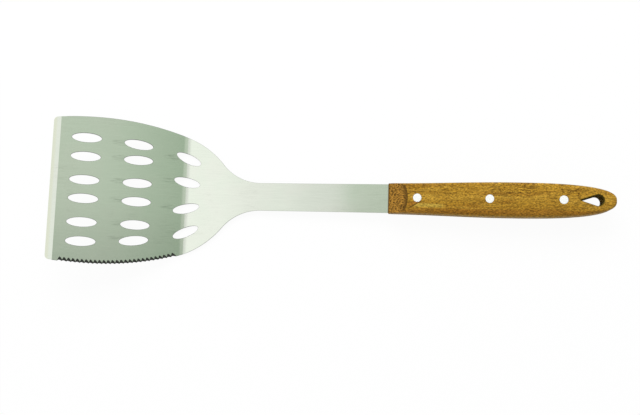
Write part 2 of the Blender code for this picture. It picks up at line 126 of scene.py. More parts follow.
class TurnerTeeth(bpy.types.PropertyGroup):
    """The serration along one side of the blade."""

    pitch: size("Tooth pitch", "From one tooth to the next", 2.93)
    inset: size("Tooth line inset", "How far the tips lie inside the blade's side", 0.2)
    tip_slope: size("Tip slope", "How far the tips lean inwards over the sheet", 0.95)
    reach: size("Grinding reach", "How far a gullet runs in on the upper face", 2.85)
    notch: size("Notch depth", "How far a gullet cuts in on the lower face", 0.6)
    root: number("Root place", "Where the gullet is deepest, as a share of the pitch", 0.32)
    behind_front: size("Teeth behind front", "From the front edge to the first tooth", 8.45)
    ahead_of_bend: size("Teeth ahead of bend", "From the last tooth to the bend", 4.7)


class TurnerHandle(bpy.types.PropertyGroup):
    """The two wooden scales and the hanging hole."""

    length: size("Handle length", "From the handle's front to its tip", 151.1)
    half_thickness: size("Handle half thickness", "Half of the handle's thickness", 7.7)
    front_half: size("Front half width", "Half of the width at the front", 10.3)
    half_width: size("Handle half width", "Half of the greatest width", 11.87)
    widest: size("Widest from front", "From the front to the widest place", 80.4)
    fullness: number("End fullness", "How full the rounded end is, 2 for an ellipse", 2.72)
    crown: size("Crown radius", "Curve of the handle's faces across", 52.0)
    edge: size("Edge radius", "Rounding along the scales' edges", 2.8)
    nose: size("Nose length", "Length of the slope at the front", 13.4)
    lip: size("Nose lip", "Height of a scale at its front", 1.6)
    seam: size("Seam", "Gap between a scale and the tang", 0.1)
    tang_inset: size("Tang inset", "How far the tang lies inside the scales' outline", 0.3)
    hole_radius: size("Hole radius", "Round end of the hanging hole", 3.75)
    hole_length: size("Hole length", "Length of the hanging hole", 15.4)
    hole_to_tip: size("Hole to tip", "From the hanging hole to the handle's tip", 8.5)
    hole_rim: size("Hole rim radius", "Rounding of the hanging hole's rims", 1.0)
    hole_growth: size("Tang hole growth", "How much larger the hole in the tang is", 0.6)


class TurnerRivets(bpy.types.PropertyGroup):
    """The three rivets."""

    radius: size("Head radius", "Radius of a rivet's heads", 2.85)
    head: size("Head thickness", "Thickness of a head", 1.1)
    dome: size("Dome", "How far a head's middle stands above its rim", 0.14)
    stem: size("Stem radius", "Radius of a rivet's stem", 2.1)
    seat: size("Seat clearance", "Gap around a head", 0.1)
    first: size("First rivet", "From the handle's front to the first rivet", 19.7)
    last: size("Last rivet", "From the last rivet to the hanging hole", 10.6)
    sides: count("Rivet sides", "Fineness of a rivet", 64)


class TurnerFinish(bpy.types.PropertyGroup):
    """Colours of the steel, the wood and the rivets."""

    steel: colour("Steel", "Bright brushed steel", (0.68, 0.728, 0.638))
    wood: colour("Wood", "Middle tone of the oiled wood", (0.41, 0.225, 0.019))
    dark: colour("Dark wood", "Darker streaks of the wood", (0.225, 0.105, 0.007))
    # The light wood also paints the highlight along the middle of the handle.
    light: colour("Light wood", "Lighter streaks of the wood", (0.56, 0.338, 0.046))
    # The pores' colour also paints the contact shadow at the foot of the nose slope.
    pores: colour("Pores", "The wood's fine dark pores", (0.115, 0.050, 0.004))
    # The lower wood also paints shade along the handle's lower side.
    low: colour("Lower wood", "Redder wood along the lower side", (0.25, 0.105, 0.010))
    end_grain: colour("End grain", "Cut ends of the wood's fibres", (0.29, 0.145, 0.022))
    rivet: colour("Rivet metal", "Soft bright metal of the rivets", (0.97, 0.97, 0.96))


class TurnerStudio(bpy.types.PropertyGroup):
    """The floor, the lamps, the reflection card and the camera."""

    lens: number("Lens", "Focal length of the camera", 45.502, unit="CAMERA")
    world: number("World light", "Level of the light from all around", 0.62)
    key: number("Key lamp", "Power of the large lamp behind the turner", 15.0)
    softbox: number("Softboxes", "Power of each of two softboxes that the shank mirrors", 0.64)
    near: colour("Near card", "What the blade's front mirrors from above", (0.71, 0.785, 0.696))
    far: colour("Far card", "What the blade mirrors before the bend", (0.45, 0.567, 0.447))
    white: number("Floor white", "Share of the floor that the camera sees as plain white", 0.94)


GROUPS = {
    "turner_blade": TurnerBlade,
    "turner_slots": TurnerSlots,
    "turner_teeth": TurnerTeeth,
    "turner_handle": TurnerHandle,
    "turner_rivets": TurnerRivets,
    "turner_finish": TurnerFinish,
    "turner_studio": TurnerStudio,
}


def sizes():
    """The property groups of the blade, the slots, the teeth, the handle and the rivets."""
    return [getattr(bpy.context.scene, name) for name in list(GROUPS)[:5]]


# Outlines, drawn on the flat blank: s along the turner from the bend, y across, h above the sheet


def arc(centre, radius, start, end, step):
    """Points along an arc, from one angle to another in steps of so many degrees."""
    pieces = max(3, math.ceil(abs(end - start) / math.radians(step)))
    turns = (start + (end - start) * i / pieces for i in range(pieces + 1))
    return [Vector((centre[0] + radius * math.cos(a), centre[1] + radius * math.sin(a))) for a in turns]


def blade_side(b):
    """The blade's side at positive y, as tangent arcs from the front edge to the neck."""
    front_centre = Vector((-b.widest, b.half_width - b.front_radius))
    corner_s = b.corner - b.length
    reach = b.front_radius - b.corner
    corner_y = front_centre.y + math.sqrt(reach**2 - (corner_s + b.widest) ** 2)
    corner_end = math.atan2(corner_y - front_centre.y, corner_s + b.widest)
    rear_centre = Vector((-b.widest, b.half_width - b.rear_radius))
    across = Vector((math.sin(b.rear_turn), math.cos(b.rear_turn)))
    shoulder_centre = rear_centre + (b.rear_radius - b.shoulder) * across
    neck_turn = math.acos((b.neck_half + b.neck - shoulder_centre.y) / (b.shoulder + b.neck))
    onward = Vector((math.sin(neck_turn), math.cos(neck_turn)))
    neck_centre = shoulder_centre + (b.shoulder + b.neck) * onward
    points = arc((corner_s, corner_y), b.corner, math.pi, corner_end, 8)
    points += arc(front_centre, b.front_radius, corner_end, UPRIGHT, 0.5)[1:]
    points += arc(rear_centre, b.rear_radius, UPRIGHT, UPRIGHT - b.rear_turn, 0.5)[1:]
    points += arc(shoulder_centre, b.shoulder, UPRIGHT - b.rear_turn, UPRIGHT - neck_turn, 1.5)[1:]
    return points + arc(neck_centre, b.neck, 3 * UPRIGHT - neck_turn, 3 * UPRIGHT, 1.5)[1:]


def side_at(points, s):
    """The side's distance from the axis at s, and the angle of its slope."""
    for near, far in zip(points, points[1:]):
        if near.x <= s <= far.x:
            slope = far - near
            return near.y + (s - near.x) / (far.x - near.x) * slope.y, math.atan2(slope.y, slope.x)
    raise ValueError("s lies off the blade")


def handle_side(b, h, tapers=40, ends=44):
    """The handle's side from its front to its tip: points and outward normals."""
    points = []
    for i in range(tapers):
        part = i / tapers
        ease = part * part * (3 - 2 * part)
        out = h.front_half + (h.half_width - h.front_half) * ease
        points.append(Vector((b.shank + part * h.widest, out)))
    for i in range(ends + 1):
        turn = UPRIGHT * (1 - i / ends)
        along = max(math.cos(turn), 0) ** (2 / h.fullness)
        out = max(math.sin(turn), 0) ** (2 / h.fullness)
        points.append(Vector((b.shank + h.widest + (h.length - h.widest) * along, h.half_width * out)))
    normals = [Vector((0.0, 1.0))]
    for before, after in zip(points, points[2:]):
        normals.append(Vector((before.y - after.y, after.x - before.x)).normalized())
    return points, [*normals, Vector((1.0, 0.0))]


def hole_places(b, h):
    """The hanging hole's round centre and its point, along s."""
    centre = b.shank + h.length - h.hole_to_tip - h.hole_radius
    return centre, centre + h.hole_radius - h.hole_length


def teardrop(b, h, growth):
    """The hanging hole's outline: a round end joined to its point by two tangents."""
    centre, point = hole_places(b, h)
    radius = h.hole_radius + growth
    to_point = centre - point + growth
    tangent = math.acos(radius / to_point)
    outline = arc((centre, 0.0), radius, math.pi - tangent, tangent - math.pi, 6)
    tip = Vector((centre - to_point, 0.0))
    straight = [tip.lerp(outline[0], i / 6) for i in range(1, 6)]
    return [tip, *straight, *outline, *(Vector((p.x, -p.y)) for p in reversed(straight))]


def rivet_places(b, h, r):
    first = b.shank + r.first
    last = hole_places(b, h)[1] - r.last
    return first, (first + last) / 2, last


def quarter_round(radius, pieces):
    """How far a rounded edge is set in and let down, in steps from its side to its top."""
    turns = (UPRIGHT * i / pieces for i in range(pieces + 1))
    return [(radius * (1 - math.cos(a)), radius * (1 - math.sin(a))) for a in turns]


def closed(half):
    """A closed outline from its half at positive y."""
    return [*half, *(Vector((p.x, -p.y)) for p in reversed(half) if p.y > TINY)]


def pulled_in(outline, distance):
    """The outline moved inwards by a distance, square to itself."""
    area = sum(p.x * q.y - q.x * p.y for p, q in zip(outline, outline[1:] + outline[:1]))
    hand = math.copysign(1.0, area)
    moved = []
    for i, point in enumerate(outline):
        before = (point - outline[i - 1]).normalized()
        after = (outline[(i + 1) % len(outline)] - point).normalized()
        middle = before + after
        inward = Vector((-middle.y, middle.x)).normalized() * hand
        square = Vector((-before.y, before.x)) * hand
        moved.append(point + inward * distance / max(inward.dot(square), 0.5))
    return moved


# Meshes


def new_mesh(name, bm):
    mesh = bpy.data.meshes.new(name)
    bm.to_mesh(mesh)
    bm.free()
    return mesh


def rings_mesh(rings, name):
    """A closed solid through rings of the same count of points, with both ends filled."""
    bm = bmesh.new()
    rows = [[bm.verts.new(p) for p in ring] for ring in rings]
    for row, onward in zip(rows, rows[1:]):
        for i in range(len(row)):
            bm.faces.new((row[i - 1], row[i], onward[i], onward[i - 1]))
    bm.faces.new(rows[0])
    bm.faces.new(rows[-1])
    bmesh.ops.recalc_face_normals(bm, faces=bm.faces)
    return new_mesh(name, bm)


def plate_mesh(outline, half, rim, name):
    """A flat plate of half its thickness each way, with a chamfered rim where one is given."""
    levels = ((-half, outline), (half, outline))
    if rim:
        inner = pulled_in(outline, rim)
        levels = ((-half, inner), (rim - half, outline), (half - rim, outline), (half, inner))
    return rings_mesh([[(p.x, p.y, z) for p in ring] for z, ring in levels], name)


def slant_mesh(foot, lean, hand, extents, name):
    """A block standing on a leaning plane through a foot, to cut off all that is beyond."""
    block = Matrix.Translation((0, 0, hand * extents[2] / 2)) @ Matrix.Diagonal((*extents, 1))
    bm = bmesh.new()
    bmesh.ops.create_cube(
        bm, size=1.0, matrix=Matrix.Translation(foot) @ Matrix.Rotation(lean, 4, "Y") @ block
    )
    return new_mesh(name, bm)


def turned_mesh(profile, s, sides, name):
    """A solid turned about the h axis at s, from a profile of radius and height."""
    rings = []
    for radius, height in profile:
        turns = (2 * math.pi * (i + 0.5) / sides for i in range(sides))
        rings.append([(s + radius * math.cos(a), radius * math.sin(a), height) for a in turns])
    return rings_mesh(rings, name)


def add_object(name, data):
    obj = bpy.data.objects.new(name, data)
    bpy.context.scene.collection.objects.link(obj)
    return obj


def bake(obj, *helpers):
    """Turn an object with its modifiers into a plain mesh, and remove the helpers."""
    bpy.context.view_layer.update()
    graph = bpy.context.evaluated_depsgraph_get()
    mesh = bpy.data.meshes.new_from_object(obj.evaluated_get(graph), depsgraph=graph)
    sides = Counter(key for face in mesh.polygons for key in face.edge_keys)
    if any(faces != 2 for faces in sides.values()):
        raise RuntimeError(f"{obj.name} isn't closed")
    obj.modifiers.clear()
    obj.data = mesh
    mesh.name = obj.name
    for helper in helpers:
        bpy.data.objects.remove(helper)
    return mesh


def mark(mesh, name, domain, value):
    """Give each face or point a value that the material reads."""
    items = mesh.polygons if domain == "FACE" else mesh.vertices
    values = [float(value(item)) for item in items]
    mesh.attributes.new(name, "FLOAT", domain).data.foreach_set("value", values)
    return values


def shade(mesh, degrees, test=None):
    """Shade smooth with sharp edges from an angle on, and wherever the test holds."""
    mesh.shade_smooth()
    mesh.set_sharp_from_angle(angle=math.radians(degrees))
    for edge in mesh.edges:
        if test and test(edge):
            edge.use_edge_sharp = True


# The blank's fold and the turner's rest


def fold(b, point):
    """Where a point of the flat blank lies once the blade is bent up."""
    s, y, h = point
    half = b.bend_radius * b.bend / 2
    turn = min(max(half - s, 0.0), 2 * half) / b.bend_radius
    beyond = max(-half - s, 0.0)
    radius = b.bend_radius - h
    along = max(s, half) - radius * math.sin(turn) - beyond * math.cos(turn)
    return Vector((along, y, b.bend_radius - radius * math.cos(turn) + beyond * math.sin(turn)))


def rest_matrix(b, h):
    """Lays the turner on the table, on its heel and on the lower scale, as the frame has it."""
    half = b.bend_radius * b.bend / 2
    along = b.shank + h.nose - half
    down = h.half_thickness + b.bend_radius
    heel = b.bend_radius + b.thickness / 2
    tilt = math.atan2(down, along) - math.asin(heel / math.hypot(along, down))
    lift = heel - half * math.sin(tilt) - b.bend_radius * math.cos(tilt)
    turn = Matrix.Rotation(-tilt, 4, "Y")
    # The frame's tang ends where the blank's does, and this sets the turner along X.
    tip = turn @ Vector((b.shank + h.length - h.tang_inset, 0.0, -b.thickness / 2))
    return Matrix.Translation((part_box("blade_and_tang")[1].x - tip.x, 0.0, lift)) @ turn


# Node trees


class Value:
    """What a node puts out. Plain arithmetic on it adds math nodes to its tree."""

    def __init__(self, socket):
        self.socket = socket
        self.tree = socket.id_data

    def __add__(self, other):
        return calc("ADD", self, other)

    def __sub__(self, other):
        return calc("SUBTRACT", self, other)

    def __rsub__(self, other):
        return calc("SUBTRACT", other, self)

    def __mul__(self, other):
        return calc("MULTIPLY", self, other)

    def __truediv__(self, other):
        return calc("DIVIDE", self, other)

    def __abs__(self):
        return calc("ABSOLUTE", self)


def tree_of(*values):
    return next(value.tree for value in values if isinstance(value, Value))


def plug(node, inputs):
    """Link or set a node's inputs, given by name or number."""
    for name, value in inputs.items():
        if isinstance(value, Value):
            value.tree.links.new(value.socket, node.inputs[name])
        else:
            node.inputs[name].default_value = value


def add_node(tree, kind, inputs, **settings):
    node = tree.nodes.new(kind)
    for name, value in settings.items():
        setattr(node, name, value)
    plug(node, inputs)
    return node


def put(tree, kind, inputs, output=0, **settings):
    """Add a node with its inputs and settings, and give one of its outputs."""
    return Value(add_node(tree, kind, inputs, **settings).outputs[output])


def calc(operation, *values):
    return put(tree_of(*values), "ShaderNodeMath", dict(enumerate(values)), operation=operation)


def split(vector):
    node = add_node(vector.tree, "ShaderNodeSeparateXYZ", {0: vector})
    return [Value(socket) for socket in node.outputs]


def vector_of(x=0.0, y=0.0, z=0.0):
    return put(tree_of(x, y, z), "ShaderNodeCombineXYZ", {0: x, 1: y, 2: z})


def new_tree(name, kind, inputs, outputs):
    """A tree with named sockets, with what its input node gives and its output node."""
    tree = bpy.data.node_groups.new(name, kind)
    for way, sockets in (("INPUT", inputs), ("OUTPUT", outputs)):
        for label, socket in sockets.items():
            tree.interface.new_socket(name=label, in_out=way, socket_type="NodeSocket" + socket)
    given = tree.nodes.new("NodeGroupInput").outputs
    return tree, {label: Value(given[label]) for label in inputs}, tree.nodes.new("NodeGroupOutput")


def add_tree_modifier(obj, tree, values):
    """Add the tree as a modifier and set its inputs by their sockets' identifiers."""
    modifier = obj.modifiers.new(tree.name, "NODES")
    modifier.node_group = tree
    for item in tree.interface.items_tree:
        if item.in_out == "INPUT" and item.name != "Geometry":
            modifier[item.identifier] = values[item.name]


def piece_tree(name, objects=(), lengths=(), counts=()):
    """A geometry tree with a metal, and with objects, lengths and counts as its inputs."""
    inputs = {"Geometry": "Geometry", **dict.fromkeys(objects, "Object")}
    inputs |= dict.fromkeys(lengths, "Float") | dict.fromkeys(counts, "Int") | {"Metal": "Material"}
    return new_tree(name, "GeometryNodeTree", inputs, {"Geometry": "Geometry"})


def end_tree(result, geometry, metal):
    """End a tree in real geometry that carries its metal."""
    tree = geometry.tree
    real = put(tree, "GeometryNodeRealizeInstances", {0: geometry})
    plug(result, {0: put(tree, "GeometryNodeSetMaterial", {"Geometry": real, "Material": metal})})


def placed_copies(places, shape):
    """Copies of a shape on the places' points, turned and sized by their attributes."""
    tree = shape.tree
    named = "GeometryNodeInputNamedAttribute"
    turn = vector_of(z=put(tree, named, {"Name": "turn"}, data_type="FLOAT"))
    inputs = {
        "Points": put(tree, "GeometryNodeObjectInfo", {"Object": places}, "Geometry"),
        "Instance": shape,
        "Rotation": put(tree, "FunctionNodeEulerToRotation", {0: turn}),
        "Scale": put(tree, named, {"Name": "size"}, data_type="FLOAT_VECTOR"),
    }
    copies = put(tree, "GeometryNodeInstanceOnPoints", inputs)
    return put(tree, "GeometryNodeRealizeInstances", {0: copies})


def blade_tree():
    """Punches the drain slots through the blank and grinds the serration into its side."""
    tree, given, result = piece_tree(
        "Punch and serrate blade",
        objects=("Slot places", "Gullet places", "Gullet grinder", "Plain cutters"),
        lengths=("Slot length", "Slot width", "Sheet thickness", "Rim chamfer"),
        counts=("Slot sides",),
    )
    # The punch is straight through the sheet, and flares where it leaves it to chamfer the rims.
    half_wall = given["Sheet thickness"] * 0.5 - given["Rim chamfer"]
    drum = {"Vertices": given["Slot sides"], "Side Segments": 3, "Radius": 1.0, "Depth": half_wall * 6.0}
    punch = put(tree, "GeometryNodeMeshCylinder", drum)
    x, y, z = split(put(tree, "GeometryNodeInputPosition", {}))
    flare = calc("MAXIMUM", abs(z) - half_wall, 0.0)
    along = x * (given["Slot length"] * 0.5 + flare)
    across = y * (given["Slot width"] * 0.5 + flare)
    shaped = {"Geometry": punch, "Position": vector_of(along, across, z)}
    slots = placed_copies(given["Slot places"], put(tree, "GeometryNodeSetPosition", shaped))
    grinder, cutters = (
        put(tree, "GeometryNodeObjectInfo", {"Object": given[name]}, "Geometry")
        for name in ("Gullet grinder", "Plain cutters")
    )
    gullets = placed_copies(given["Gullet places"], grinder)
    geometry = given["Geometry"]
    for tool, overlapping in ((slots, False), (cutters, False), (gullets, True)):
        inputs = {"Mesh 1": geometry, "Mesh 2": tool, "Self Intersection": overlapping}
        geometry = put(
            tree, "GeometryNodeMeshBoolean", inputs, "Mesh", operation="DIFFERENCE", solver="EXACT"
        )
    end_tree(result, geometry, given["Metal"])
    return tree


def rivet_tree():
    """Sets a two-headed rivet with gently domed heads on each point."""
    tree, given, result = piece_tree(
        "Set rivets",
        lengths=("Head radius", "Head thickness", "Dome", "Stem radius", "Half length"),
        counts=("Sides",),
    )
    half = given["Half length"] - given["Head thickness"] * 0.5
    stem = {"Vertices": given["Sides"], "Radius": given["Stem radius"], "Depth": half * 2.0}
    head = {"Vertices": given["Sides"], "Radius": given["Head radius"], "Depth": given["Head thickness"]}
    head |= {"Side Segments": 2, "Fill Segments": 14}
    shapes = [put(tree, "GeometryNodeMeshCylinder", stem)]
    for hand in (1.0, -1.0):
        disc = put(tree, "GeometryNodeMeshCylinder", head)
        moved = {"Geometry": disc, "Translation": vector_of(z=half * hand)}
        shapes.append(put(tree, "GeometryNodeTransform", moved))
    union = add_node(tree, "GeometryNodeMeshBoolean", {}, operation="UNION", solver="EXACT")
    for shape in shapes:
        plug(union, {"Mesh 2": shape})
    # The outer faces fall away from their middle, gently at first and quickly at the rim.
    x, y, z = split(put(tree, "GeometryNodeInputPosition", {}))
    out = calc("SQRT", x * x + y * y) / given["Head radius"]
    fall = calc("POWER", out, 2.0) * 0.35 + calc("POWER", out, 14.0) * 0.65
    outer = calc("GREATER_THAN", abs(z), given["Half length"] - TINY)
    drop = fall * given["Dome"] * outer * (calc("SIGN", z) * -1.0)
    domed = {"Geometry": Value(union.outputs["Mesh"]), "Offset": vector_of(z=drop)}
    rivet = put(tree, "GeometryNodeSetPosition", domed)
    points = {"Points": given["Geometry"], "Instance": rivet}
    end_tree(result, put(tree, "GeometryNodeInstanceOnPoints", points), given["Metal"])
    return tree


# Materials


Grain = namedtuple("Grain", "lines broad clouds")


def noise(vector, scale, detail=3.0, roughness=0.5, distortion=0.0):
    inputs = {"Scale": scale, "Detail": detail, "Roughness": roughness, "Distortion": distortion}
    return put(vector.tree, "ShaderNodeTexNoise", {"Vector": vector, **inputs})


def spread(value, low, high, start=0.0, end=1.0):
    """Map a stretch of a value smoothly to another, and hold it at both ends."""
    inputs = {"Value": value, "From Min": low, "From Max": high, "To Min": start, "To Max": end}
    return put(value.tree, "ShaderNodeMapRange", inputs, interpolation_type="SMOOTHSTEP")


def scaled(value, at_zero, at_one):
    """A share turned into a plain factor."""
    return put(value.tree, "ShaderNodeMapRange", {"Value": value, "To Min": at_zero, "To Max": at_one})


def window(value, start, end, soft):
    """One between start and end, and softly zero outside them."""
    return spread(value, start - soft, start) * spread(value, end, end + soft, 1.0, 0.0)


def smudge(x, y, centre, reach_x, reach_y):
    """A soft round patch, one at its centre."""
    x = (x - centre.x) / reach_x
    y = (y - centre.y) / reach_y
    return spread(x * x + y * y, 0.1, 1.0, 1.0, 0.0)


def streak(x, y, start, end, width):
    """A soft straight streak across the handle's top, from start to end."""
    start = Vector(start)
    along = Vector(end) - start
    length = along.length
    along.normalize()
    x = x - start.x
    y = y - start.y
    aside = abs(x * along.y - y * along.x)
    near = spread(aside, 0.3 * width, width, 1.0, 0.0)
    return near * window(x * along.x + y * along.y, 0.0, length, 3 * width)


def blend(factor, first, second, mode="MIX"):
    """Mix two colours."""
    first, second = (v if isinstance(v, Value) else (*v, 1.0) for v in (first, second))
    inputs = {0: factor, 6: first, 7: second}
    tree = tree_of(factor, first, second)
    return put(tree, "ShaderNodeMix", inputs, 2, data_type="RGBA", blend_type=mode)


def layered(tone, *layers):
    """A tone with colours laid over it in turn, each by its own share."""
    for factor, over in layers:
        tone = blend(factor, tone, over)
    return tone


def toned(tone, *factors):
    """A plain colour times one factor, or times three."""
    return tuple(c * k for c, k in zip(tone, factors * 3))


def bump(height, distance):
    return put(height.tree, "ShaderNodeBump", {"Height": height, "Distance": distance}, "Normal")


def attribute(tree, name):
    return put(tree, "ShaderNodeAttribute", {}, "Fac", attribute_name=name)


def grain_group():
    """Long fine lines along X, as brushing or fibres leave them, with clouds over them."""
    lengths = ("Line length", "Line width", "Line height")
    inputs = {"Vector": "Vector", **dict.fromkeys(lengths, "Float")}
    outputs = dict.fromkeys(("Lines", "Broad lines", "Clouds"), "Float")
    tree, given, result = new_tree("Lengthwise grain", "ShaderNodeTree", inputs, outputs)
    vector = given["Vector"]
    drawn = vector_of(*(part / given[name] for part, name in zip(split(vector), lengths)))
    plug(result, {"Lines": noise(drawn, 1.0, 4.0, 0.62)})
    plug(result, {"Broad lines": noise(drawn, 0.16, 3.0, 0.55, 0.3)})
    plug(result, {"Clouds": noise(vector, 42.0)})
    return tree


def use_grain(group, vector, length, width, height):
    """Place the grain with the size of its lines in millimetres."""
    lengths = {"Line length": length * MM, "Line width": width * MM, "Line height": height * MM}
    node = add_node(vector.tree, "ShaderNodeGroup", {"Vector": vector, **lengths}, node_tree=group)
    return Grain(*(Value(socket) for socket in node.outputs))


def new_material(name):
    """A material with its shader and its Object coordinates."""
    material = bpy.data.materials.new(name)
    material.use_nodes = True
    tree = material.node_tree
    return material, tree.nodes["Principled BSDF"], put(tree, "ShaderNodeTexCoord", {}, "Object")


def steel_material(finish, grain):
    """Bright sheet steel, finely brushed along the tool, with darker marks ahead of the slots."""
    material, shader, at = new_material("brushed_steel")
    b, w, t, h, r = sizes()
    rest = rest_matrix(b, h)
    base = tuple(finish.steel)
    x, y, z = split(at)
    brushed = use_grain(grain, at, 12, 0.25, 12)
    marks = use_grain(grain, at, 6, 0.6, 6)
    # Darker marks lie ahead of the slots of the two rear columns, and a few lie elsewhere.
    darker_marks = spread(marks.clouds, 0.55, 0.65, 0.04, 0.3)
    for (s, across, _), _, _ in slot_rows(b, w, blade_side(b)):
        if s > -b.length / 2:
            ahead = rest @ fold(b, (s - w.length / 2 - 1.2 * MM, across + 0.8 * MM, 0.0))
            darker_marks = calc("MAXIMUM", darker_marks, smudge(x, y, ahead, 8 * MM, 2.8 * MM))
    darker_marks = spread(marks.lines, 0.46, 0.62, 0.05, 0.55) * darker_marks
    darker_marks = darker_marks * spread(marks.broad, 0.42, 0.58, 0.35, 1.0)
    foremost = (rest @ fold(b, (-b.length, 0.0, 0.0))).x
    handle_front = (rest @ Vector((b.shank, 0.0, 0.0))).x
    ground = attribute(at.tree, "ground")
    tone = layered(
        blend(spread(brushed.lines, 0.3, 0.7), toned(base, 0.93), base),
        (spread(brushed.clouds, 0.4, 0.6) * 0.4, toned(base, 1.02, 0.97, 1.0)),
        (darker_marks, toned(base, 0.5)),
        # The foremost strip of the ground front edge is a little duller and warmer.
        (spread(x, foremost + 1.2 * MM, foremost + 2.8 * MM, 1.0, 0.0), toned(base, 0.95, 0.93, 0.87)),
        # Against the front of the handle the steel is darkened: dark polish there, and a painted contact
        # shadow.
        (spread(x, handle_front - 0.7 * MM, handle_front, 0.0, 0.75), (0.05, 0.04, 0.03)),
        # The gullets are painted nearly black, a painted dark reflection, and the slots' walls are
        # painted dark, as painted shade.
        (ground, toned(base, 0.015)),
        (attribute(at.tree, "wall"), toned(base, 0.1)),
    )
    rough = spread(brushed.broad, 0.3, 0.7, 0.11, 0.135) + spread(brushed.clouds, 0.35, 0.65, 0.0, 0.025)
    # The gullets are made non-metal, so that their painted dark reflection stays dark.
    inputs = {"Base Color": tone, "Roughness": rough + ground * 0.1, "Metallic": 1.0 - ground}
    plug(shader, {**inputs, "Specular IOR Level": 0.0, "Normal": bump(brushed.lines, 0.002 * MM)})
    return material


def rivet_material(finish, grain):
    """Soft bright metal with faint turning marks."""
    material, shader, at = new_material("rivet_metal")
    turned = use_grain(grain, at, 1.2, 0.2, 2)
    base = tuple(finish.rivet)
    tone = blend(spread(turned.lines, 0.3, 0.7), toned(base, 0.95), base)
    inputs = {"Base Color": tone, "Roughness": spread(turned.clouds, 0.3, 0.7, 0.58, 0.66)}
    plug(shader, {**inputs, "Metallic": 0.25, "Normal": bump(turned.lines, 0.004 * MM)})
    return material


def wood_material(finish, grain):
    """Oiled hardwood: fibres and pores along the handle, and end grain on the nose slope."""
    material, shader, at = new_material("oiled_hardwood")
    b, w, t, h, r = sizes()
    names = ("wood", "dark", "light", "pores", "low", "end_grain")
    wood, dark, light, pores, low, ends = (tuple(getattr(finish, name)) for name in names)
    front, first, middle, last = (
        (rest_matrix(b, h) @ Vector((s, 0.0, 0.0))).x for s in (b.shank, *rivet_places(b, h, r))
    )
    # The fibres wander a little to and fro across the handle.
    x, y, z = split(at)
    across = y + (noise(vector_of(x * 0.4, y, z), 45.0, 2.0) - 0.5) * (6 * MM)
    warped = vector_of(x, across, z)
    figure = use_grain(grain, warped, 30, 1.9, 4)
    fibres = use_grain(grain, warped, 9, 0.9, 1.4)
    specks = use_grain(grain, at, 1.4, 0.6, 1)
    flecks = use_grain(grain, at, 2.7, 0.75, 1.6)
    lowest = -h.half_width
    russet, paler, redder = (0.30, 0.105, 0.010), (0.52, 0.37, 0.06), (0.36, 0.12, 0.015)
    edge_shade, bored = (0.2, 0.16, 0.016), (0.12, 0.085, 0.012)
    # Beside the first rivet lie a paler and a redder patch, and a check runs to it from the slope.
    paler_patch = ((first + 1 * MM, -5.0 * MM), (first + 14 * MM, -5.2 * MM), 1.9 * MM)
    redder_patch = ((first - 4.5 * MM, -4.2 * MM), (first - 1.5 * MM, -3.0 * MM), 1.5 * MM)
    check = ((first - 5.4 * MM, -6.6 * MM), (first + 1.4 * MM, -2.7 * MM), 0.65 * MM)
    tone = layered(
        blend(spread(figure.lines, 0.42, 0.62, 0.0, 0.5), wood, light),
        # A paler band runs along the middle, a painted highlight on the crown, and the lower side is
        # redder and darker, partly the wood's own tone and partly painted shade.
        (spread(abs(across - 0.6 * MM), 1 * MM, 4 * MM, 0.3, 0.0), light),
        (spread(across, lowest + 1 * MM, -1.5 * MM, 0.45, 0.0), low),
        (window(across, lowest + 2.2 * MM, lowest + 4 * MM, 1.2 * MM) * 0.4, russet),
        (spread(fibres.broad, 0.50, 0.62, 0.0, 0.45), low),
        (spread(specks.broad, 0.44, 0.60) * 0.3, dark),
        (spread(fibres.lines, 0.44, 0.62, 0.0, 0.5), dark),
        (streak(x, y, *paler_patch) * 0.65, paler),
        (streak(x, y, *redder_patch) * 0.5, redder),
    )
    speck = spread(specks.lines, 0.34, 0.66)
    tone = blend(1.0, tone, scaled(speck, 1.5, 0.5), "MULTIPLY")
    # Pores are short dark grooves, gathered in the upper half and in a few patches.
    patches = spread(figure.clouds, 0.48, 0.60, 0.12, 0.8)
    for start, end in ((middle + 2 * MM, middle + 28 * MM), (last - 1 * MM, last + 9 * MM)):
        patches = calc("MAXIMUM", patches, window(x, start, end, 3 * MM))
    fleck = spread(flecks.lines, 0.52, 0.61) * (patches * spread(across, 0.0, 4 * MM, 0.25, 1.0))
    # The rounded edges, which lie below the crown, are painted darker: painted shade.
    below = h.half_thickness - y * y * (0.5 / h.crown) - attribute(at.tree, "height")
    # End grain shows the fibres' cut ends as dots, and darkens towards the crest of the slope.
    dots = noise(at, 1150.0, 3.0, 0.75)
    cut_ends = layered(
        blend(1.0, ends, scaled(spread(dots, 0.34, 0.66), 0.1, 1.9), "MULTIPLY"),
        (spread(below, 0.4 * MM, 1.4 * MM, 0.75, 0.0), toned(ends, 0.3)),
        # At the foot of the slope, against the steel, the end grain is darkened: dark polish, and a
        # painted contact shadow.
        (spread(x, front + 0.3 * MM, front + 1.1 * MM, 0.75, 0.0), pores),
    )
    mask = attribute(at.tree, "end_grain")
    bore = attribute(at.tree, "bore")
    tone = layered(
        tone,
        (fleck, pores),
        (streak(x, y, *check) * 0.85, pores),
        # Painted shade on the rounded edges.
        (spread(below, 0.3 * MM, 2.2 * MM) * 0.3, edge_shade),
        (mask, cut_ends),
        # The walls of the bores are painted dark brown: a drilling stain, and painted shade inside the
        # holes.
        (bore, bored),
    )
    rough = spread(fibres.lines, 0.3, 0.7, 0.42, 0.54) + mask * 0.25 + bore * 0.5
    relief = fibres.lines * 0.3 - fleck - speck * 0.2 + dots * mask * 0.8
    inputs = {"Base Color": tone, "Roughness": rough, "Specular IOR Level": 0.11}
    plug(shader, {**inputs, "Normal": bump(relief, 0.05 * MM)})
    return material


